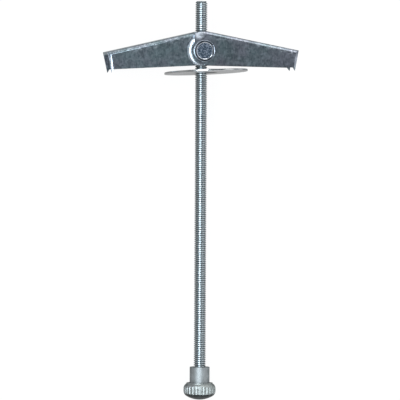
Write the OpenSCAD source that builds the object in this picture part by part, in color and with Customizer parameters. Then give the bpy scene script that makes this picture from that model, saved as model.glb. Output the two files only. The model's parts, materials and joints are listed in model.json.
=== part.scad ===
// Spring toggle bolt lying at rest: a threaded rod with two sprung wings on a pivot nut at one end,
// a loose washer behind them and a knurled nut with a collar at the other end.
// Each piece is modelled upright about the rod, with the pivot at the origin, the free end of the rod
// up and the pivot along Y, and lying() then lays the whole bolt on the ground.

/* [Rod] */
// Outside diameter of the rod's thread
rod_d = 3.86; // [3:0.02:5]
// Whole length of the rod
rod_len = 125; // [80:1:200]
// Length of the rod beyond the pivot, on its free side
rod_free = 16.3; // [10:0.1:30]
// Chamfer on both ends of the rod
rod_chamfer = 0.4; // [0.1:0.05:0.8]

/* [Wings] */
// Thickness of the folded sheet
sheet_t = 0.8; // [0.5:0.05:1.2]
// Space between the rod and the spring wire beside it, inside the wings
rod_room = 0.055; // [0.03:0.005:1]
// Length of a wing along its web, from above the pivot to the tip
wing_len = 33; // [24:0.5:45]
// Height of the web above the pivot
web_rise = 6.65; // [5.8:0.05:8]
// Slope of the web down to the tip, in degrees
web_slope = 11.8; // [8:0.1:13]
// Depth of the flanges below the pivot
flange_drop = 4.7; // [4.4:0.05:6]
// Slope of the flanges' free edges, in degrees
flange_slope = 2; // [0:0.1:4]
// Outside radius of the folds between web and flanges
bend_r = 1.1; // [0.9:0.05:1.6]
// Length of the flanges' upper corner past the pivot, towards the other wing
root_back = 3.3; // [2.8:0.1:4]
// Step from the web's height at the pivot down to that corner
root_step = 0.65; // [0.1:0.05:1]
// Radius of the rounded noses of the flanges, round the pivot
nose_r = 5.5; // [5.1:0.05:6]
// Width of the rolled-over edge on the nose of the outer flange
roll_w = 1.15; // [0.6:0.05:1.4]
// Depth of that rolled-over edge
roll_h = 0.6; // [0.3:0.05:0.7]
// Width of the bevel along the outside of a tip, and of the tooth at its corner
edge_w = 0.9; // [0.4:0.05:1.2]
// Depth of that bevel
edge_h = 0.55; // [0.2:0.05:0.6]
// Height of the tooth at each corner of a tip
tooth_h = 1.05; // [0.5:0.05:2]
// Angle by which the two wings sit askew at their stops, in degrees
wing_cant = 1; // [0:0.1:1.6]

/* [Pivot nut] */
// Wall of the nut's body on each side of the rod
nut_wall = 1.28; // [1:0.02:1.6]
// Diameter of the journals on which the wings turn
journal_d = 5.3; // [4.6:0.1:5.6]
// Overlap of the riveted heads beyond the wings' pivot holes
head_cover = 0.75; // [0.4:0.05:1.2]
// Thickness of the riveted heads
head_t = 0.6; // [0.4:0.05:1]
// Width of the turned rim round the riveted heads
rim_w = 0.25; // [0.15:0.05:0.3]
// Width of the riveting groove
groove_w = 0.4; // [0.2:0.05:0.5]
// Depth of the riveting groove
groove_h = 0.3; // [0.1:0.05:0.35]

/* [Spring] */
// Diameter of the spring wire
wire_d = 0.5; // [0.3:0.05:0.6]
// Reach of each spring leg from the pivot
leg_reach = 8.5; // [6:0.1:12]
// Half of the loop's opening at the top, in degrees
loop_gap = 36; // [28:1:50]

/* [Washer] */
// Outside diameter of the washer
washer_d = 27.4; // [22:0.1:34]
// Diameter of the washer's hole
washer_hole_d = 7.6; // [7:0.1:9]
// Thickness of the washer
washer_t = 0.7; // [0.5:0.05:1.2]
// Space between the wings and the washer, along the rod
washer_room = 1.8; // [1.6:0.05:6]
// Break on the washer's edges
washer_break = 0.12; // [0.05:0.01:0.2]
// Lean of the washer on the rod, in degrees
washer_lean = 3.4; // [0:0.1:4]
// Direction of the washer's highest edge, in degrees about the rod
washer_high = -65; // [-90:1:90]
// Direction in which the rod lies to the side in the hole, in degrees above the ground
washer_settle = 55; // [40:1:90]

/* [Knurled nut] */
// Wall of the nut's collar round the rod
collar_wall = 1.28; // [1:0.02:1.7]
// Length of the collar
collar_len = 5.2; // [3:0.1:8]
// Greatest diameter of the knurled head
knob_d = 10.55; // [9:0.05:14]
// Length of the knurled head
knob_len = 5.55; // [5:0.05:8]
// Radius of the head's round shoulder
shoulder_r = 1.9; // [1:0.1:2.2]
// Radius of the head's round lower edge
under_r = 2; // [1:0.1:2.4]
// Radius of the head's domed end
dome_r = 8.3; // [7.5:0.1:12]
// Number of ribs round the head
rib_count = 30; // [18:1:40]
// Depth of the grooves between the ribs
rib_depth = 0.28; // [0.1:0.02:0.4]
// Width of the screwdriver slot
slot_w = 1.1; // [0.6:0.1:1.8]
// Depth of the screwdriver slot
slot_h = 1.3; // [0.6:0.1:2]
// Length of rod held in the nut
nut_grip = 4.9; // [3:0.1:8]
// Turn of the slot about the rod, in degrees
slot_turn = -52; // [-90:1:90]

/* [Hidden] */
$fn = 96;

turn_gap = 0.05;      // clearance of a piece that turns on another, at a radius or at a face
stop_gap = 0.15;      // space left at the wings' stop, at rest
touch_gap = 0.1;      // space between a spring leg and its web, and between rod and washer
skin = 0.01;          // small offset between surfaces that would otherwise coincide or only touch

rod_r = rod_d / 2;
rod_end = rod_free - rod_len;             // the rod's end inside the knurled nut
bore_r = rod_r + turn_gap;
wire_r = wire_d / 2;
nut_r = bore_r + nut_wall;
collar_r = bore_r + collar_wall;

// The two wings are alike, and lie one sheet apart along the pivot so that they nest when folded
wing_shift = (sheet_t + turn_gap) / 2;
inside_y = rod_r + rod_room + wire_d + turn_gap;  // inside face of the inner flanges
inner_half = inside_y + wing_shift;       // half of a wing's inside width
half_w = inner_half + sheet_t;            // half of its outside width
wing_w = 2 * half_w;
outside_y = half_w + wing_shift;          // outside face of the outer flanges
root_top = web_rise - root_step;
roll_r = (roll_w * roll_w + roll_h * roll_h) / (2 * roll_h);
notch_len = root_back + stop_gap + web_rise * sin(wing_cant) * 2;
channel_h = 3 * web_rise;                 // taller than any flange, before it is trimmed

// Where the wing's end, its free edge and its tooth meet, in the wing's own plane
function along(s) = [s * cos(web_slope), web_rise - s * sin(web_slope)];
function below(s, q) = along(s) - q * [sin(web_slope), cos(web_slope)];
function depth(s) = (web_rise + flange_drop - s * (sin(web_slope) - tan(flange_slope) * cos(web_slope)))
    / (cos(web_slope) + tan(flange_slope) * sin(web_slope));
tooth_tip = below(wing_len, depth(wing_len) + tooth_h);
tooth_foot = below(wing_len - edge_w, depth(wing_len - edge_w));
web_corner = below(wing_len - edge_w, bend_r);

journal_r = journal_d / 2;
head_r = journal_r + turn_gap + head_cover;
face_r = head_r - rim_w - groove_w;
nut_half = inside_y - turn_gap;
head_y = outside_y + turn_gap;
end_y = head_y + head_t;

loop_r = nut_r + turn_gap + wire_r;
spring_y = inside_y - turn_gap - wire_r;
// Height of a leg's end, just under the web of a wing that is turned up by cant
function leg_z(cant) = web_rise - (sheet_t + touch_gap + wire_r) / cos(web_slope)
    - leg_reach * tan(web_slope - cant);

washer_r = washer_d / 2;
washer_back = flange_drop + washer_room + washer_t / 2;
washer_play = (washer_hole_d - rod_d) / 2 - touch_gap;
washer_up = washer_play * sin(washer_settle);
washer_side = washer_play * cos(washer_settle);

knob_r = knob_d / 2;
knob_top = rod_end + nut_grip - collar_len;      // where the collar meets the head
knob_end = knob_top - knob_len;
knob_high = knob_top - shoulder_r;               // upper edge of the head's side
under_in = knob_r - under_r;
knob_low = knob_end + dome_r - skin - sqrt(pow(dome_r - under_r, 2) - under_in * under_in);

// Roll at which a corner of the left wing's tip meets the ground
function roll_to(q) =
    let (x = q[0] * cos(wing_cant) + q[1] * sin(wing_cant), z = q[1] * cos(wing_cant) - q[0] * sin(wing_cant))
    asin((pivot_h + z * sin(slope)) / cos(slope) / norm([x, outside_y])) - atan(outside_y / x);

// The bolt lies on the head's widest ring, the washer's rim and the far corner of the left wing's tip
rest_arm = [washer_up + knob_r, -washer_back - knob_low];
slope = atan2(rest_arm[1], rest_arm[0]) - acos(washer_r / norm(rest_arm));
pivot_h = washer_r - washer_up * cos(slope) + washer_back * sin(slope);
roll = min(roll_to(tooth_foot), roll_to(web_corner));
middle_y = ((rod_free + knob_end) * cos(slope) + rod_r * sin(slope)) / 2;

// Lays the upright bolt along Y, with its footprint centred on the origin
module lying() {
    translate([0, -middle_y, pivot_h]) rotate([slope - 90, 0, 0]) children();
}

// Turns the toggle about the rod until the left tip meets the ground
module toggled() {
    lying() rotate([0, 0, -roll]) children();
}

module threaded_rod() {
    color("silver") translate([0, 0, rod_end]) rotate_extrude()
        polygon([
            [0, 0], [rod_r - rod_chamfer, 0], [rod_r, rod_chamfer],
            [rod_r, rod_len - rod_chamfer], [rod_r - rod_chamfer, rod_len], [0, rod_len]
        ]);
}

// Half of the pivot nut's outline, from the middle of one riveted end to the middle of the body
function half_nut() = [
    [0, end_y], [face_r - groove_h, end_y], [face_r, end_y - groove_h],
    [face_r + groove_w, end_y - groove_h], [face_r + groove_w, end_y],
    [head_r - groove_h / 2, end_y], [head_r, end_y - groove_h],
    [head_r, head_y], [journal_r, head_y], [journal_r, nut_half], [nut_r, nut_half]
];

module pivot_nut() {
    half = half_nut();
    other = [for (i = [len(half) - 1 : -1 : 0]) [half[i][0], -half[i][1]]];
    color("dimgray") difference() {
        rotate([90, 0, 0]) rotate_extrude() polygon(concat(half, other));
        cylinder(r = bore_r, h = 4 * nut_r, center = true);
    }
}

// A straight piece of spring wire with a round start, between two points of the loop's plane
module wire(a, b) {
    step = b - a;
    translate([a[0], 0, a[1]]) {
        sphere(r = wire_r + skin);
        rotate([0, atan2(step[0], step[1]), 0]) cylinder(r = wire_r, h = norm(step));
    }
}

module torsion_spring() {
    $fn = 24;
    open_right = loop_r * [sin(loop_gap), cos(loop_gap)];
    color("slategray") translate([0, -spring_y, 0]) {
        rotate([90, 0, 0]) difference() {
            rotate_extrude() translate([loop_r, 0]) circle(r = wire_r);
            linear_extrude(height = 2 * wire_d, center = true)
                polygon([[0, 0], 2 * open_right, [0, 3 * loop_r], 2 * [-open_right[0], open_right[1]]]);
        }
        wire(open_right, [leg_reach, leg_z(wing_cant)]);
        wire([-open_right[0], open_right[1]], [-leg_reach, leg_z(-wing_cant)]);
    }
}

// Section of the folded channel, with the outside of its web on the X axis
module channel_section() {
    module rounded(w, r) {
        translate([-w / 2, -channel_h]) square([w, channel_h - r]);
        translate([r - w / 2, -channel_h]) square([w - 2 * r, channel_h]);
        for (side = [-1, 1]) translate([side * (w / 2 - r), -r]) circle(r = r);
    }
    difference() {
        rounded(wing_w, bend_r);
        translate([0, -sheet_t]) rounded(2 * inner_half, bend_r - sheet_t);
    }
}

// A wing's outline seen from the side: round nose, upper corner, free edge and tooth
module wing_outline() {
    intersection() {
        rotate([90, 0, 0]) cylinder(r = nose_r, h = 2 * wing_w, center = true);
        translate([-nose_r, -wing_w, -flange_drop]) cube([2 * nose_r, 2 * wing_w, 2 * nose_r]);
    }
    rotate([90, 0, 0]) linear_extrude(height = 2 * wing_w, center = true)
        polygon([
            [-root_back, 0], [-root_back, root_top], [0, root_top], below(0, -sheet_t),
            below(wing_len, -sheet_t), tooth_tip, tooth_foot, [0, -flange_drop]
        ]);
}

// What the rolled-over edge takes off the nose of the outer flange, where it stands free
module nose_edge() {
    intersection() {
        rotate([90, 0, 0]) rotate_extrude() difference() {
            translate([nose_r - roll_w, half_w - roll_h]) square([2 * roll_w, 2 * roll_h]);
            translate([nose_r - roll_w, half_w - roll_r - skin]) circle(r = roll_r);
        }
        union() {
            translate([-2 * nose_r, -wing_w, -nose_r])
                cube([2 * nose_r - root_back - skin, wing_w, 2 * nose_r]);
            translate([-2 * nose_r, -wing_w, -nose_r]) cube([2 * nose_r, wing_w, nose_r]);
        }
    }
}

// What the bevel takes off the outside of both flanges along the tip
module tip_bevel() {
    translate([0, 0, web_rise]) rotate([0, web_slope, 0]) for (side = [-1, 1])
        linear_extrude(height = 2 * channel_h, center = true)
            polygon([
                [wing_len - edge_w, side * half_w], [wing_len + edge_w, side * (half_w - 2 * edge_h)],
                [wing_len + edge_w, side * wing_w], [wing_len - edge_w, side * wing_w]
            ]);
}

// One wing, pointing along +X from the pivot, with its outer flange on the -Y side
module wing() {
    translate([0, -wing_shift, 0]) difference() {
        intersection() {
            translate([0, 0, web_rise]) rotate([0, web_slope, 0]) translate([-wing_len, 0, 0])
                rotate([90, 0, 90]) linear_extrude(height = 3 * wing_len) channel_section();
            wing_outline();
        }
        translate([-wing_len, skin - inner_half, 0])
            cube([wing_len + notch_len, 2 * (inner_half - skin), channel_h]);
        rotate([90, 0, 0]) cylinder(r = journal_r + turn_gap, h = 2 * wing_w, center = true);
        nose_edge();
        tip_bevel();
    }
}

module wing_right() {
    color("lightslategray") rotate([0, -wing_cant, 0]) wing();
}

module wing_left() {
    color("slategray") rotate([0, -wing_cant, 0]) rotate([0, 0, 180]) wing();
}

module washer() {
    half = washer_t / 2;
    hole_r = washer_hole_d / 2;
    color("lightgray") translate([washer_side, -washer_up, -washer_back])
        rotate([0, 0, washer_high]) rotate([0, -washer_lean, 0]) rotate_extrude() polygon([
            [hole_r + washer_break, -half], [washer_r - washer_break, -half],
            [washer_r, washer_break - half], [washer_r, half - washer_break],
            [washer_r - washer_break, half], [hole_r + washer_break, half],
            [hole_r, half - washer_break], [hole_r, washer_break - half]
        ]);
}

// Section of the knurled head before its ribs are cut: ribs stand on the widest ring
module ribbed_round() {
    difference() {
        circle(r = knob_r);
        for (i = [0 : rib_count - 1]) rotate(90 + (i + 0.5) * 360 / rib_count)
            translate([knob_r + rib_depth, 0]) circle(r = 2 * rib_depth);
    }
}

module knurled_nut() {
    color("gray") difference() {
        union() {
            translate([0, 0, knob_high]) cylinder(r = collar_r, h = shoulder_r + collar_len);
            intersection() {
                translate([0, 0, knob_end]) linear_extrude(height = knob_len) ribbed_round();
                rotate_extrude() {
                    translate([0, knob_end]) square([under_in * dome_r / (dome_r - under_r), knob_len]);
                    translate([under_in, knob_low]) circle(r = under_r);
                    translate([0, knob_low]) square([knob_r, knob_high - knob_low]);
                    translate([0, knob_high]) square([knob_r - shoulder_r, shoulder_r]);
                    translate([knob_r - shoulder_r, knob_high]) circle(r = shoulder_r);
                }
                translate([0, 0, knob_end + dome_r]) sphere(r = dome_r);
            }
        }
        translate([0, 0, rod_end - turn_gap]) cylinder(r = bore_r, h = rod_len);
        rotate([0, 0, slot_turn]) translate([-knob_r, -slot_w / 2, knob_end - slot_h])
            cube([knob_d, slot_w, 2 * slot_h]);
    }
}

lying() threaded_rod();
toggled() pivot_nut();
toggled() torsion_spring();
toggled() wing_left();
toggled() wing_right();
lying() washer();
lying() knurled_nut();
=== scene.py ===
import bpy
import json
import math
from mathutils import Matrix, Vector

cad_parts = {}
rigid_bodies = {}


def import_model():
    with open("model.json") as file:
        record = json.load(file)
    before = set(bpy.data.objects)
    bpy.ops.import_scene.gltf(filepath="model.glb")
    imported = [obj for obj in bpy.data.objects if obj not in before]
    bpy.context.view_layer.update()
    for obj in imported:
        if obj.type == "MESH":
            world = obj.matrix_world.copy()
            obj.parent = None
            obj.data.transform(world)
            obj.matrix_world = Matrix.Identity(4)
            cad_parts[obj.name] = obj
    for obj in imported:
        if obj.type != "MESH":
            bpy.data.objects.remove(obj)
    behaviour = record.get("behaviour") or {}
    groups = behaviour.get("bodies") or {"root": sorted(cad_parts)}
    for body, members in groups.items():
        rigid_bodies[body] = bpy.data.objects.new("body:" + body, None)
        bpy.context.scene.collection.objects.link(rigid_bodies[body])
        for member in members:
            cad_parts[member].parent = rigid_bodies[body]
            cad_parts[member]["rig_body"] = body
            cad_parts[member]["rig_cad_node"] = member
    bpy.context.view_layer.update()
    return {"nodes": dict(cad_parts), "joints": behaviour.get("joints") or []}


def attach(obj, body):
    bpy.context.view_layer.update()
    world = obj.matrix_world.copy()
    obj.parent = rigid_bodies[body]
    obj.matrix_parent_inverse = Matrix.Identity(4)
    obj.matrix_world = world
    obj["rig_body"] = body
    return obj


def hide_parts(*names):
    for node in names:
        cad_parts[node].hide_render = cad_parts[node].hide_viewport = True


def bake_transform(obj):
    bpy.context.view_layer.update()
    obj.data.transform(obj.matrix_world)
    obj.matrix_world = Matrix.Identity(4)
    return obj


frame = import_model()
mm = 0.001

# The rod and the pivot give every place: +Z along the rod to its free end, the pivot along Y
joints = {joint["name"]: joint for joint in frame["joints"]}
pivot = Vector(joints["toggle_turn"]["pos_m"])
rodAxis = Vector(joints["toggle_turn"]["axis"]).normalized()
pivotAxis = Vector(joints["wing_right_fold"]["axis"]).normalized()
toggleFrame = Matrix((pivotAxis.cross(rodAxis), pivotAxis, rodAxis)).transposed().to_4x4()
toggleFrame.translation = pivot
toToggle = toggleFrame.inverted()
drawnWeld = 0.0005  # millimetres under which the points of a drawn piece are merged


def clearSelection():
    if bpy.context.mode != "OBJECT":
        bpy.ops.object.mode_set(mode="OBJECT")
    bpy.ops.object.select_all(action="DESELECT")


def workOn(piece):
    clearSelection()
    piece.select_set(True)
    bpy.context.view_layer.objects.active = piece


def edit(piece, kind="VERT"):
    workOn(piece)
    bpy.ops.object.mode_set(mode="EDIT")
    bpy.ops.mesh.select_mode(type=kind)
    bpy.ops.mesh.select_all(action="DESELECT")


def applyModifiers(piece):
    workOn(piece)
    for modifier in list(piece.modifiers):
        bpy.ops.object.modifier_apply(modifier=modifier.name)


def settle(piece):  # puts a piece modelled upright where it lies, with its place in its mesh
    workOn(piece)
    piece.matrix_world = toggleFrame @ Matrix.Scale(mm, 4) @ piece.matrix_world
    bpy.ops.object.transform_apply(location=True, rotation=True, scale=True)


def drawLine(name, points):  # an open line through points, drawn by extruding one vertex
    clearSelection()
    bpy.ops.mesh.primitive_plane_add(size=1, location=points[0])
    piece = bpy.context.active_object
    piece.name = name
    bpy.ops.object.transform_apply(location=True)
    edit(piece)
    bpy.ops.mesh.select_all(action="SELECT")
    bpy.ops.mesh.merge(type="CENTER")
    for before, after in zip(points, points[1:]):
        step = [b - a for a, b in zip(before, after)]
        bpy.ops.mesh.extrude_region_move(TRANSFORM_OT_translate={"value": step})
    clearSelection()
    return piece


def turnOutline(piece, axis, steps, rise=0.0, turns=1):  # spins a drawn line, or winds it into a screw
    turned = piece.modifiers.new("turned", "SCREW")
    turned.axis = axis
    turned.angle = math.radians(360)
    turned.screw_offset = rise
    turned.iterations = turns
    turned.steps = turned.render_steps = steps
    turned.use_merge_vertices = True
    turned.merge_threshold = drawnWeld
    applyModifiers(piece)


def smoothBelow(piece, degrees):  # smooth, with sharp edges where faces meet at more than these degrees
    workOn(piece)
    bpy.ops.object.shade_smooth_by_angle(angle=math.radians(degrees))


def coat(piece, finish):  # gives the whole piece one finish
    piece.data.materials.clear()
    piece.data.materials.append(finish)


def coatFaces(piece, finish, wanted):  # gives the faces that are wanted a finish of their own
    piece.data.materials.append(finish)
    edit(piece, "FACE")
    bpy.ops.object.mode_set(mode="OBJECT")
    for face in piece.data.polygons:
        face.select = wanted(face)
    bpy.ops.object.mode_set(mode="EDIT")
    piece.active_material_index = len(piece.data.materials) - 1
    bpy.ops.object.material_slot_assign()
    clearSelection()


def upright(face):  # a face's middle in millimetres from the pivot, as if the rod stood upright
    return toToggle @ face.center / mm


copying = {"weld": 0.002, "flatAngle": 0.5, "bevelSteps": 2, "smoothAngle": 32}


def copyNode(name, newName, softEdge):  # a copy of a CAD solid with softened edges
    workOn(frame["nodes"][name])
    bpy.ops.object.duplicate()
    piece = bpy.context.active_object
    piece.name = newName
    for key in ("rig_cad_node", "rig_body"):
        if key in piece:
            del piece[key]
    piece.parent = None
    edit(piece)
    bpy.ops.mesh.select_all(action="SELECT")
    bpy.ops.mesh.remove_doubles(threshold=copying["weld"] * mm)
    bpy.ops.mesh.dissolve_limited(angle_limit=math.radians(copying["flatAngle"]))
    clearSelection()
    workOn(piece)
    bevel = piece.modifiers.new("softEdge", "BEVEL")
    bevel.width = softEdge * mm
    bevel.segments = copying["bevelSteps"]
    bevel.limit_method = "ANGLE"
    bevel.angle_limit = math.radians(copying["smoothAngle"])
    bevel.harden_normals = False
    applyModifiers(piece)
    smoothBelow(piece, copying["smoothAngle"])
    levelled = piece.modifiers.new("levelled", "WEIGHTED_NORMAL")  # broad faces stay flat up to their edges
    levelled.keep_sharp = True
    applyModifiers(piece)
    return piece


# Shared effects


def newGroup(name, inputs, outputs):
    group = bpy.data.node_groups.new(name, "ShaderNodeTree")
    for label, value in inputs:
        socket = group.interface.new_socket(name=label, in_out="INPUT", socket_type="NodeSocketFloat")
        socket.default_value = value
    for label in outputs:
        group.interface.new_socket(name=label, in_out="OUTPUT", socket_type="NodeSocketFloat")
    return group, group.nodes.new("NodeGroupInput"), group.nodes.new("NodeGroupOutput")


def addNode(tree, kind, inputs=(), **settings):
    node = tree.nodes.new(kind)
    for key, value in settings.items():
        setattr(node, key, value)
    for key, value in inputs:
        if hasattr(value, "is_output"):
            tree.links.new(value, node.inputs[key])
        else:
            node.inputs[key].default_value = value
    return node


mottleScales = {"Patch Scale": 350, "Spangle Scale": 700, "Speck Scale": 4000, "Streak Scale": 1800}


def zincMottle():  # patches, crystal spangle, fine specks, rolling streaks and a slow change of tint
    group, start, end = newGroup(
        "zincMottle", mottleScales.items(), ["Patches", "Spangle", "Specks", "Streaks", "Tint"])
    place = addNode(group, "ShaderNodeTexCoord").outputs["Object"]
    patches = addNode(group, "ShaderNodeTexNoise", [
        ("Vector", place), ("Scale", start.outputs["Patch Scale"]), ("Detail", 5.0), ("Roughness", 0.62),
        ("Distortion", 0.6)])
    crystals = addNode(group, "ShaderNodeTexVoronoi", [
        ("Vector", place), ("Scale", start.outputs["Spangle Scale"]), ("Randomness", 1.0),
        ("Smoothness", 0.35)], feature="SMOOTH_F1")
    tone = addNode(group, "ShaderNodeSeparateColor", [("Color", crystals.outputs["Color"])])
    specks = addNode(group, "ShaderNodeTexNoise", [
        ("Vector", place), ("Scale", start.outputs["Speck Scale"]), ("Detail", 3.0), ("Roughness", 0.7)])
    drawn = addNode(group, "ShaderNodeMapping", [("Vector", place), ("Scale", (1.0, 0.16, 1.0))])
    streaks = addNode(group, "ShaderNodeTexNoise", [
        ("Vector", drawn.outputs[0]), ("Scale", start.outputs["Streak Scale"]), ("Detail", 4.0),
        ("Roughness", 0.7)])
    tint = addNode(group, "ShaderNodeTexNoise", [("Vector", place), ("Scale", 140.0), ("Detail", 2.0)])
    for label, source in (("Patches", patches.outputs["Fac"]), ("Spangle", tone.outputs["Red"]),
                          ("Specks", specks.outputs["Fac"]), ("Streaks", streaks.outputs["Fac"]),
                          ("Tint", tint.outputs["Fac"])):
        group.links.new(source, end.inputs[label])
    return group


def mixColour(tree, share, first, second, blend="MIX"):
    node = addNode(tree, "ShaderNodeMix", data_type="RGBA", blend_type=blend)
    colours = [socket for socket in node.inputs if socket.type == "RGBA"]
    for socket, value in zip([node.inputs[0]] + colours, (share, first, second)):
        if hasattr(value, "is_output"):
            tree.links.new(value, socket)
        else:
            socket.default_value = value
    return [socket for socket in node.outputs if socket.type == "RGBA"][0]


def remap(tree, source, first, last, low=0.0, high=1.0):  # stretches first to last over low to high
    node = addNode(tree, "ShaderNodeMapRange", [
        ("Value", source), ("From Min", first), ("From Max", last), ("To Min", low), ("To Max", high)])
    return node.outputs["Result"]


def compute(tree, operation, first, second):  # one sum or product of two sockets or numbers
    return addNode(tree, "ShaderNodeMath", [(0, first), (1, second)], operation=operation).outputs[0]


def weigh(tree, pairs):  # the weighted sum of several masks
    parts = [compute(tree, "MULTIPLY", source, weight) for source, weight in pairs]
    total = parts[0]
    for part in parts[1:]:
        total = compute(tree, "ADD", total, part)
    return total


def addSpecksAndPaintedSheen(tree, masks, specksAndPaintedSheen, colour, roughness):  # pale, dull specks that thin out away from the fold: partly a speckled finish, partly a painted sheen on the flange below the fold
    depth = addNode(tree, "ShaderNodeAttribute", attribute_name="foldDepth").outputs["Fac"]
    near = remap(tree, depth, specksAndPaintedSheen["full"], specksAndPaintedSheen["none"], 1.0, 0.0)
    grains = weigh(tree, zip((masks["Specks"], masks["Patches"]), specksAndPaintedSheen["mix"]))
    limit = remap(tree, near, 0.0, 1.0, specksAndPaintedSheen["high"], specksAndPaintedSheen["low"])
    spots = remap(tree, compute(tree, "SUBTRACT", grains, limit), 0.0, specksAndPaintedSheen["fade"])
    colour = mixColour(tree, spots, colour, (*specksAndPaintedSheen["colour"], 1))
    roughness = compute(tree, "ADD", roughness, compute(tree, "MULTIPLY", spots, specksAndPaintedSheen["dull"]))
    return colour, roughness


def addPaintedGlint(tree, masks, paintedGlint, colour, roughness):  # painted highlight: bright patches round a few places
    place = addNode(tree, "ShaderNodeTexCoord").outputs["Object"]
    patchy = remap(tree, masks["Patches"], *paintedGlint["spread"])
    for spot in paintedGlint["places"]:
        middle = toggleFrame @ (Vector(spot) * mm)
        away = addNode(tree, "ShaderNodeVectorMath", [(0, place), (1, middle)], operation="DISTANCE")
        near = remap(tree, away.outputs["Value"], paintedGlint["reach"] * mm, paintedGlint["core"] * mm)
        much = compute(tree, "MULTIPLY", near, patchy)
        colour = mixColour(tree, much, colour, (*paintedGlint["colour"], 1))
        roughness = compute(tree, "ADD", roughness, compute(tree, "MULTIPLY", much, paintedGlint["dull"]))
    return colour, roughness


plainLook = {  # what a finish has where its own dictionary says nothing else
    "scales": tuple(mottleScales.values()),
    "mix": (0.45, 0.25, 0.3),  # shares of patches, spangle and streaks in the tone
    "spread": (0.3, 0.7),  # tones that come out dark and light
    "glossSpread": (0.25, 0.75),  # tones that come out least and most rough
    "tintSpread": (0.36, 0.64),
    "reliefMix": (0.6, 0.4),  # shares of specks and streaks in the relief
    "reliefDepth": 0.05, "bump": 0.15,
    "edge": 1.0,  # brightness at a grazing angle
}


def metal(name, ownLook):  # bare or zinc plated metal
    look = plainLook | ownLook
    finish = bpy.data.materials.new(name)
    finish.use_nodes = True
    tree = finish.node_tree
    shader = tree.nodes["Principled BSDF"]
    shader.inputs["Metallic"].default_value = 1.0
    shader.inputs["Specular Tint"].default_value = (look["edge"], look["edge"], look["edge"], 1)
    cover = addNode(tree, "ShaderNodeGroup", node_tree=mottle)
    for label, value in zip(mottleScales, look["scales"]):
        cover.inputs[label].default_value = value
    masks = cover.outputs
    tone = weigh(tree, zip((masks["Patches"], masks["Spangle"], masks["Streaks"]), look["mix"]))
    colour = mixColour(tree, remap(tree, tone, *look["spread"]), (*look["dark"], 1), (*look["light"], 1))
    if "tints" in look:
        shift = remap(tree, masks["Tint"], *look["tintSpread"])
        hue = mixColour(tree, shift, (*look["tints"][0], 1), (*look["tints"][1], 1))
        colour = mixColour(tree, 1.0, colour, hue, "MULTIPLY")
    if "groove" in look:  # painted shade, darker towards the thread's root
        height = addNode(tree, "ShaderNodeAttribute", attribute_name="threadHeight").outputs["Fac"]
        shade = remap(tree, height, 0.0, 1.0, look["groove"], 1.0)
        colour = mixColour(tree, 1.0, colour, shade, "MULTIPLY")
    roughness = remap(tree, tone, *look["glossSpread"], *look["roughness"])
    if "specksAndPaintedSheen" in look:
        colour, roughness = addSpecksAndPaintedSheen(tree, masks, look["specksAndPaintedSheen"], colour, roughness)
    if "paintedGlint" in look:
        colour, roughness = addPaintedGlint(tree, masks, look["paintedGlint"], colour, roughness)
    tree.links.new(colour, shader.inputs["Base Color"])
    tree.links.new(roughness, shader.inputs["Roughness"])
    grain = weigh(tree, zip((masks["Specks"], masks["Streaks"]), look["reliefMix"]))
    relief = addNode(tree, "ShaderNodeBump", [
        ("Height", grain), ("Strength", look["bump"]), ("Distance", look["reliefDepth"] * mm)])
    tree.links.new(relief.outputs["Normal"], shader.inputs["Normal"])
    return finish


mottle = zincMottle()
print("zinc mottle made")

# Threaded rod

rod = {
    "crestRadius": 1.93, "rootRadius": 1.46, "pitch": 0.7, "crestFlat": 0.26, "rootFlat": 0.06,
    "crestSoft": 0.02, "length": 125.0, "free": 16.3, "chamfer": 0.42, "spareTurns": 2, "stepsPerTurn": 28,
    "smoothAngle": 50,
    "zinc": {
        "dark": (0.36, 0.41, 0.43), "light": (0.48, 0.53, 0.55), "roughness": (0.28, 0.31),
        # the thread's root is darkened by this share of its colour: painted shade
        "scales": (900, 1500, 5000, 2500), "edge": 0.1, "groove": 0.95,
    },
}


def makeRod():
    crest, root, pitch, soft = rod["crestRadius"], rod["rootRadius"], rod["pitch"], rod["crestSoft"]
    flatRoot, flatCrest, middle = rod["rootFlat"] / 2, rod["crestFlat"] / 2, rod["pitch"] / 2
    tooth = [
        (root, 0.0), (root, flatRoot), (crest - soft, middle - flatCrest - soft), (crest, middle - flatCrest),
        (crest, middle + flatCrest), (crest - soft, middle + flatCrest + soft), (root, pitch - flatRoot),
        (root, pitch),
    ]
    low = rod["free"] - rod["length"]
    start = low - rod["spareTurns"] * pitch
    piece = drawLine("rodThread", [(radius, 0, start + height) for radius, height in tooth])
    turnOutline(piece, "Z", rod["stepsPerTurn"], pitch, int(rod["length"] / pitch) + 2 * rod["spareTurns"])
    for height, upper in ((low, False), (rod["free"], True)):  # cuts the spare turns off both ends
        edit(piece)
        bpy.ops.mesh.select_all(action="SELECT")
        bpy.ops.mesh.bisect(plane_co=(0, 0, height), plane_no=(0, 0, 1), use_fill=True,
                            clear_outer=upper, clear_inner=not upper)
    edit(piece)
    bpy.ops.mesh.select_all(action="SELECT")
    bpy.ops.mesh.normals_make_consistent(inside=False)
    clearSelection()
    for corner in piece.data.vertices:  # chamfers both ends
        spot = corner.co
        room = min(spot.z - low, rod["free"] - spot.z)
        most = crest - max(0.0, rod["chamfer"] - room)
        radius = math.hypot(spot.x, spot.y)
        if radius > most:
            spot.x *= most / radius
            spot.y *= most / radius
    heights = [min(max((math.hypot(corner.co.x, corner.co.y) - root) / (crest - root), 0.0), 1.0)
               for corner in piece.data.vertices]
    piece.data.attributes.new("threadHeight", "FLOAT", "POINT").data.foreach_set("value", heights)
    smoothBelow(piece, rod["smoothAngle"])
    settle(piece)
    coat(piece, metal("rodZinc", rod["zinc"]))
    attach(piece, "rod")
    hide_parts("threaded_rod")


makeRod()
print("rod threaded")

# Wings

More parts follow.
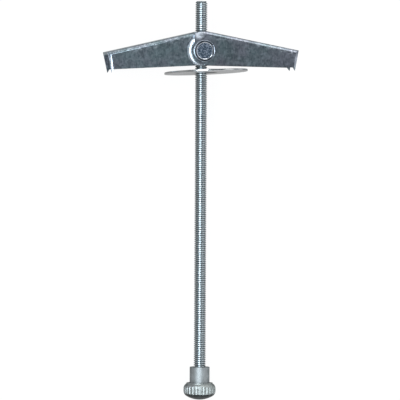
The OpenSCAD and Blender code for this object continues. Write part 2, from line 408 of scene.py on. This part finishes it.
wing = {
    "softEdge": 0.12,
    "rollInner": 3.7, "rollOuter": 6.4, "rollLean": (0.35, 0.97),  # where the roll on the nose's edge lies
    "edgeLean": 0.3, "webLean": 0.9,
    "zinc": {
        "dark": (0.19, 0.22, 0.24), "light": (0.44, 0.49, 0.54), "roughness": (0.28, 0.31), "bump": 0.3,
        "scales": (700, 1400, 6500, 4200), "mix": (0.4, 0.12, 0.48), "spread": (0.40, 0.64),
        "tints": ((0.88, 1.0, 0.98), (1.0, 0.95, 1.0)),
        # pale specks near the fold: partly a speckled finish, partly a painted sheen
        "specksAndPaintedSheen": {
            "full": 1.2, "none": 5.5, "mix": (0.55, 0.45), "low": 0.54, "high": 0.70, "fade": 0.14,
            "colour": (0.76, 0.80, 0.82), "dull": 0.3,
        },
        # painted highlight: bright patches at the flanges' root corners
        "paintedGlint": {
            "places": ((-1.8, -4.2, 5.4), (1.8, 4.2, 5.4)),  # upright, from the pivot
            "reach": 2.1, "core": 0.9, "spread": (0.15, 0.5), "colour": (0.86, 0.90, 0.96), "dull": 0.12,
        },
    },
    # the roll's lighter finish: painted highlight
    "roll": {
        "dark": (0.46, 0.51, 0.56), "light": (0.66, 0.71, 0.76), "roughness": (0.29, 0.33),
        "scales": (700, 1400, 6500, 4200),
    },
    # dark finish for the faces that look back along the rod: painted shade
    "edge": {"dark": (0.10, 0.12, 0.13), "light": (0.22, 0.24, 0.26), "roughness": (0.3, 0.4)},
}


def markDepth(piece):  # keeps how many millimetres each point of a wing lies below its web
    upward = [face for face in piece.data.polygons if face.normal.dot(rodAxis) > wing["webLean"]]
    web = max(upward, key=lambda face: face.area)
    depths = [(web.center - corner.co).dot(web.normal) / mm for corner in piece.data.vertices]
    piece.data.attributes.new("foldDepth", "FLOAT", "POINT").data.foreach_set("value", depths)


def onRoll(face):  # whether a face lies on the roll along the edge of a wing's nose, whose lighter finish is a painted highlight
    spot = upright(face)
    leastLean, mostLean = wing["rollLean"]
    return (wing["rollInner"] < math.hypot(spot.x, spot.z) < wing["rollOuter"]
            and leastLean < abs(face.normal.dot(pivotAxis)) < mostLean)


def onEdge(face):  # whether a face looks back along the rod, as the flanges' free edges and the web's underside do; these get a dark finish as painted shade
    return face.normal.dot(rodAxis) < -wing["edgeLean"] and not onRoll(face)


wingZinc = metal("wingZinc", wing["zinc"])
paintedRollHighlight = metal("paintedRollHighlight", wing["roll"])
paintedUnderShade = metal("paintedUnderShade", wing["edge"])
for node, newName, body in (
    ("wing_left", "leftWing", "left_wing"),
    ("wing_right", "rightWing", "right_wing"),
):
    piece = copyNode(node, newName, wing["softEdge"])
    coat(piece, wingZinc)
    markDepth(piece)
    coatFaces(piece, paintedRollHighlight, onRoll)
    coatFaces(piece, paintedUnderShade, onEdge)
    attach(piece, body)
    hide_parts(node)
print("wings folded")

# Washer

washer = {
    "softEdge": 0.05, "edgeLean": 0.6,
    "zinc": {"dark": (0.50, 0.50, 0.50), "light": (0.62, 0.61, 0.61), "roughness": (0.35, 0.5)},
    # the rim is glossier and a little darker than the faces; the darkening is painted shade
    "rim": {"dark": (0.40, 0.41, 0.41), "light": (0.54, 0.55, 0.55), "roughness": (0.16, 0.24)},
    # near-black hole wall: painted shade
    "hole": {"dark": (0.05, 0.05, 0.05), "light": (0.12, 0.12, 0.12), "roughness": (0.35, 0.5)},
}

flatWasher = copyNode("washer", "flatWasher", washer["softEdge"])
washerAxis = max(flatWasher.data.polygons, key=lambda face: face.area).normal.copy()
washerMiddle = sum((corner.co for corner in flatWasher.data.vertices), Vector())
washerMiddle /= len(flatWasher.data.vertices)


def onWasherEdge(face):  # whether a face is part of the washer's rim or of its hole; the rim's finish is darker than the faces, as painted shade
    return abs(face.normal.dot(washerAxis)) < washer["edgeLean"]


def inWasherHole(face):
    return onWasherEdge(face) and face.normal.dot(face.center - washerMiddle) < 0


coat(flatWasher, metal("washerZinc", washer["zinc"]))
coatFaces(flatWasher, metal("paintedRimShade", washer["rim"]), onWasherEdge)
# the hole's wall is painted near-black as shade
coatFaces(flatWasher, metal("holeWall", washer["hole"]), inWasherHole)
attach(flatWasher, "loose_washer")
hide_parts("washer")

# Knurled nut

knob = {
    "softEdge": 0.08,
    "collarFoot": -108.6,  # where the collar starts, along the rod from the pivot
    "endLean": 0.45, "collarLean": 0.2,
    "zinc": {
        "dark": (0.27, 0.28, 0.28), "light": (0.46, 0.48, 0.48), "roughness": (0.46, 0.54), "bump": 0.06,
        "scales": (600, 1200, 5000, 2500), "tints": ((0.97, 1.0, 0.97), (0.97, 0.98, 1.0)), "edge": 0.05,
    },
    "collar": {
        "dark": (0.27, 0.29, 0.29), "light": (0.38, 0.40, 0.41), "roughness": (0.56, 0.62), "bump": 0.06,
        "edge": 0.0,
    },
    # near-black domed end and slot: painted shade
    "end": {
        "dark": (0.03, 0.035, 0.035), "light": (0.10, 0.11, 0.11), "roughness": (0.3, 0.45),
        "scales": (600, 1200, 5000, 2500),
    },
}


def onKnobEnd(face):  # whether a face is part of the domed end or of its slot; these get a near-black finish as painted shade
    return face.normal.dot(rodAxis) < -knob["endLean"]


def onCollar(face):
    return abs(face.normal.dot(rodAxis)) < knob["collarLean"] and upright(face).z > knob["collarFoot"]


knurledKnob = copyNode("knurled_nut", "knurledKnob", knob["softEdge"])
coat(knurledKnob, metal("knobZinc", knob["zinc"]))
coatFaces(knurledKnob, metal("paintedKnobEndShade", knob["end"]), onKnobEnd)
coatFaces(knurledKnob, metal("collarZinc", knob["collar"]), onCollar)
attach(knurledKnob, "knob")
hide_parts("knurled_nut")
print("washer and knurled nut made")

# Pivot nut, with riveted heads turned and set on both ends of its journals

nut = {
    "softEdge": 0.06,
    "steel": {
        "dark": (0.34, 0.36, 0.39), "light": (0.56, 0.59, 0.62), "roughness": (0.24, 0.36),
        "scales": (900, 1800, 6000, 2600),
    },
}

rivet = {  # radii, and heights from the rod's middle
    "stubRadius": 2.6, "stubStart": 4.1, "sink": 0.02,
    "headRadius": 3.5, "under": 4.24, "shoulder": 4.62,
    "rimOuter": 3.4, "rimInner": 3.33, "rim": 4.76,
    "grooveOuter": 3.24, "grooveInner": 2.92, "grooveSide": 4.55,
    "floorOuter": 3.18, "floorInner": 2.94, "floor": 4.5,
    "ringFoot": 2.89, "ringSide": 4.7, "ringOuter": 2.82, "ringInner": 2.78, "ring": 4.83,
    "faceRadius": 2.62, "faceMargin": 0.02, "face": 4.72,
    "steps": 72, "smoothAngle": 28,
    "faceSteel": {
        "dark": (0.05, 0.08, 0.11), "light": (0.42, 0.46, 0.54), "roughness": (0.28, 0.45), "bump": 0.9,
        "scales": (2600, 4200, 9000, 2600), "mix": (0.6, 0.4, 0.0), "spread": (0.42, 0.78),
        "tints": ((0.85, 0.97, 1.0), (0.95, 0.94, 0.97)),
    },
    # bright finish for the head's rim, ring and sides: bare turned steel, made brighter still as a painted
    # highlight
    "rimSteelAndHighlight": {
        "dark": (0.72, 0.75, 0.80), "light": (0.86, 0.89, 0.93), "roughness": (0.14, 0.2), "bump": 0.05,
    },
    # near-black groove: painted shade in the recess
    "grooveSteel": {"dark": (0.04, 0.05, 0.06), "light": (0.10, 0.12, 0.14), "roughness": (0.3, 0.45)},
}


def betweenRadii(face, inner, outer):  # whether a face lies between two radii on a riveted head
    spot = upright(face)
    return abs(spot.y) > rivet["under"] and inner <= math.hypot(spot.x, spot.z) < outer


def onRivetFace(face):
    return betweenRadii(face, 0, rivet["faceRadius"] + rivet["faceMargin"])


# the groove's faces get a near-black finish: painted shade
def inRivetGroove(face):
    return betweenRadii(face, rivet["grooveInner"], rivet["grooveOuter"])


def makeRivetHead(name, side):
    corners = (
        ("stubRadius", "stubStart"), ("stubRadius", "under"), ("headRadius", "under"),
        ("headRadius", "shoulder"), ("rimOuter", "rim"), ("rimInner", "rim"), ("grooveOuter", "grooveSide"),
        ("floorOuter", "floor"), ("floorInner", "floor"), ("grooveInner", "grooveSide"),
        ("ringFoot", "ringSide"), ("ringOuter", "ring"), ("ringInner", "ring"), ("faceRadius", "face"),
    )
    outline = [(rivet[radius], rivet[height]) for radius, height in corners]
    outline = [(0, rivet["stubStart"]), *outline, (0, rivet["face"])]
    piece = drawLine(name, [(radius, side * height, 0) for radius, height in outline])
    turnOutline(piece, "Y", rivet["steps"])
    edit(piece)
    bpy.ops.mesh.select_all(action="SELECT")
    bpy.ops.mesh.remove_doubles(threshold=drawnWeld)
    bpy.ops.mesh.normals_make_consistent(inside=False)
    clearSelection()
    smoothBelow(piece, rivet["smoothAngle"])
    settle(piece)
    # the bright rim finish is partly a painted highlight
    coat(piece, rivetRimAndHighlight)
    coatFaces(piece, rivetFace, onRivetFace)
    coatFaces(piece, paintedGrooveShade, inRivetGroove)
    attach(piece, "toggle")
    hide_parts("pivot_nut")


pivotNut = copyNode("pivot_nut", "pivotNut", nut["softEdge"])
coat(pivotNut, metal("nutSteel", nut["steel"]))
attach(pivotNut, "toggle")
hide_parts("pivot_nut")
for side in (-1, 1):  # cuts the plain ends off, just inside the new heads
    cutPlace = toggleFrame @ Vector((0, side * (rivet["under"] - rivet["sink"]) * mm, 0))
    edit(pivotNut)
    bpy.ops.mesh.select_all(action="SELECT")
    bpy.ops.mesh.bisect(plane_co=cutPlace, plane_no=side * pivotAxis, use_fill=True, clear_outer=True)
clearSelection()
rivetFace = metal("rivetFace", rivet["faceSteel"])
rivetRimAndHighlight = metal("rivetRimAndHighlight", rivet["rimSteelAndHighlight"])
paintedGrooveShade = metal("paintedGrooveShade", rivet["grooveSteel"])
makeRivetHead("nearRivetHead", -1)
makeRivetHead("farRivetHead", 1)
print("pivot nut riveted")

# Spring

spring = {
    "wire": 0.5, "loopRadius": 3.56, "fromMiddle": 2.235, "openAngle": 36, "legReach": 8.5,
    "rightLegHeight": 3.85, "leftLegHeight": 3.54, "steps": 24, "roundness": 4, "smoothAngle": 50,
    "steel": {"dark": (0.36, 0.38, 0.40), "light": (0.52, 0.54, 0.57), "roughness": (0.3, 0.4)},
}
springSteel = metal("springSteel", spring["steel"])


def makeSpringHalf(name, side, legHeight):
    radius, depth = spring["loopRadius"], -spring["fromMiddle"]
    opening = math.radians(spring["openAngle"])
    points = []
    for i in range(spring["steps"] + 1):
        turn = math.pi + (opening - math.pi) * i / spring["steps"]
        points.append((side * radius * math.sin(turn), depth, radius * math.cos(turn)))
    points.append((side * spring["legReach"], depth, legHeight))
    piece = drawLine(name, points)
    workOn(piece)
    bpy.ops.object.convert(target="CURVE")
    piece = bpy.context.active_object
    piece.data.bevel_depth = spring["wire"] / 2
    piece.data.bevel_resolution = spring["roundness"]
    piece.data.use_fill_caps = True
    bpy.ops.object.convert(target="MESH")
    piece = bpy.context.active_object
    smoothBelow(piece, spring["smoothAngle"])
    settle(piece)
    coat(piece, springSteel)
    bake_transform(piece)
    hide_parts("torsion_spring")


makeSpringHalf("springRight", 1, spring["rightLegHeight"])
makeSpringHalf("springLeft", -1, spring["leftLegHeight"])
print("spring wound")

# Camera

camera = {
    "distance": 1100, "width": 131.35, "sensor": 36, "nearClip": 0.01,
    "belowPivot": 48.9, "aside": -0.15, "turn": -15, "rise": 1.5, "lean": 0.29,
}
toCamera = Matrix.Rotation(math.radians(camera["turn"]), 3, rodAxis) @ -pivotAxis
across = rodAxis.cross(toCamera).normalized()
target = pivot - rodAxis * camera["belowPivot"] * mm + across * camera["aside"] * mm
tilt = Matrix.Rotation(math.radians(-camera["rise"]), 3, across)
toCamera, cameraUp = tilt @ toCamera, tilt @ rodAxis
cameraUp = Matrix.Rotation(math.radians(camera["lean"]), 3, toCamera) @ cameraUp
clearSelection()
bpy.ops.object.camera_add()
lens = bpy.context.active_object
facing = Matrix((cameraUp.cross(toCamera), cameraUp, toCamera)).transposed().to_4x4()
facing.translation = target + toCamera * camera["distance"] * mm
lens.matrix_world = facing
lens.data.sensor_width = camera["sensor"]
lens.data.lens = camera["sensor"] * camera["distance"] / camera["width"]
lens.data.clip_start = camera["nearClip"]
bpy.context.scene.camera = lens
print("camera set")

# Floor, white where the camera sees it and greyer where the metal mirrors it

floor = {"size": 6, "grey": 0.93, "roughness": 0.9, "whiteShare": 0.94, "mirrored": 0.5}

clearSelection()
bpy.ops.mesh.primitive_plane_add(size=floor["size"], location=(0, 0, 0))
ground = bpy.context.active_object
ground.name = "ground"
paper = bpy.data.materials.new("paper")
paper.use_nodes = True
paperTree = paper.node_tree
matt = paperTree.nodes["Principled BSDF"]
matt.inputs["Base Color"].default_value = (floor["grey"], floor["grey"], floor["grey"], 1)
matt.inputs["Roughness"].default_value = floor["roughness"]
matt.inputs["Specular IOR Level"].default_value = 0.0
seen = addNode(paperTree, "ShaderNodeLightPath").outputs
anySeen = compute(paperTree, "MAXIMUM", seen["Is Camera Ray"], seen["Is Glossy Ray"])
share = compute(paperTree, "MULTIPLY", anySeen, floor["whiteShare"])
glare = remap(paperTree, seen["Is Camera Ray"], 0.0, 1.0, floor["mirrored"], 1.0)
white = addNode(paperTree, "ShaderNodeEmission", [("Color", (1, 1, 1, 1)), ("Strength", glare)])
surface = addNode(paperTree, "ShaderNodeMixShader", [(0, share), (1, matt.outputs[0]), (2, white.outputs[0])])
paperTree.links.new(surface.outputs[0], paperTree.nodes["Material Output"].inputs["Surface"])
ground.data.materials.append(paper)

# Light


def around(angle, rise=0.0):  # a direction turned from the camera about the rod, then raised to its free end
    flat = Matrix.Rotation(math.radians(angle), 3, rodAxis) @ toCamera
    return flat * math.cos(math.radians(rise)) + rodAxis * math.sin(math.radians(rise))


def overHead(aside, lift):  # a direction beyond the rod's free end, turned aside and lifted off the floor
    flat = rodAxis * math.cos(math.radians(aside)) + across * math.sin(math.radians(aside))
    return flat * math.cos(math.radians(lift)) + toCamera * math.sin(math.radians(lift))


def addLamp(name, direction, distance, size, strength, colour=(1, 1, 1)):
    clearSelection()
    bpy.ops.object.light_add(type="AREA")
    lamp = bpy.context.active_object
    lamp.name = name
    direction = direction.normalized()
    along = rodAxis - direction * rodAxis.dot(direction)
    if along.length < 0.2:  # almost on the rod's axis
        along = across - direction * across.dot(direction)
    along.normalize()
    turned = Matrix((along.cross(direction), along, direction)).transposed().to_4x4()
    turned.translation = target + direction * distance
    lamp.matrix_world = turned
    lamp.data.shape = "RECTANGLE"
    lamp.data.size, lamp.data.size_y = size
    lamp.data.energy = strength * math.pi * size[0] * size[1]
    lamp.data.color = colour


lamps = {
    "rodStrip": {
        "direction": around(-9), "distance": 1.5, "size": (0.7, 2.2), "strength": 7.6,
        "colour": (0.86, 0.94, 1),
    },
    "headBox": {"direction": overHead(31, 26), "distance": 0.9, "size": (0.42, 0.9), "strength": 2.2},
    "topBox": {
        "direction": around(-32, 42), "distance": 1.0, "size": (0.4, 0.3), "strength": 2.8,
        "colour": (0.88, 0.94, 1),
    },
    "footBox": {
        "direction": around(24, -52), "distance": 1.0, "size": (1.0, 0.35), "strength": 3.2,
        "colour": (0.9, 0.95, 1),
    },
    "rightBox": {"direction": around(68), "distance": 1.0, "size": (0.5, 1.8), "strength": 1.1},
}
for name, lamp in lamps.items():
    addLamp(name, **lamp)

# A sky that is bright low down and dark overhead, as in a light tent with a hole for the lens
sky = {
    "low": 0.1, "high": 0.75, "lowGlow": 0.8, "highGlow": 0.16,
    "left": -0.9, "right": 0.9, "leftGlow": 0.55, "rightGlow": 1.3,
    "coolColour": (0.8, 0.88, 1, 1), "plainColour": (1, 1, 1, 1),
}
bpy.context.scene.world = bpy.data.worlds.new("studio")
bpy.context.scene.world.use_nodes = True
skyTree = bpy.context.scene.world.node_tree
background = skyTree.nodes["Background"]
skyPlace = addNode(skyTree, "ShaderNodeTexCoord").outputs["Generated"]
facingSky = addNode(skyTree, "ShaderNodeSeparateXYZ", [(0, skyPlace)]).outputs
level = remap(skyTree, facingSky["Z"], sky["low"], sky["high"], sky["lowGlow"], sky["highGlow"])
sideways = remap(skyTree, facingSky["X"], sky["left"], sky["right"], sky["leftGlow"], sky["rightGlow"])
skyColour = mixColour(skyTree, level, sky["coolColour"], sky["plainColour"])
skyTree.links.new(skyColour, background.inputs["Color"])
skyTree.links.new(compute(skyTree, "MULTIPLY", level, sideways), background.inputs["Strength"])
bpy.context.scene.view_settings.view_transform = "Standard"
print("floor and light set")
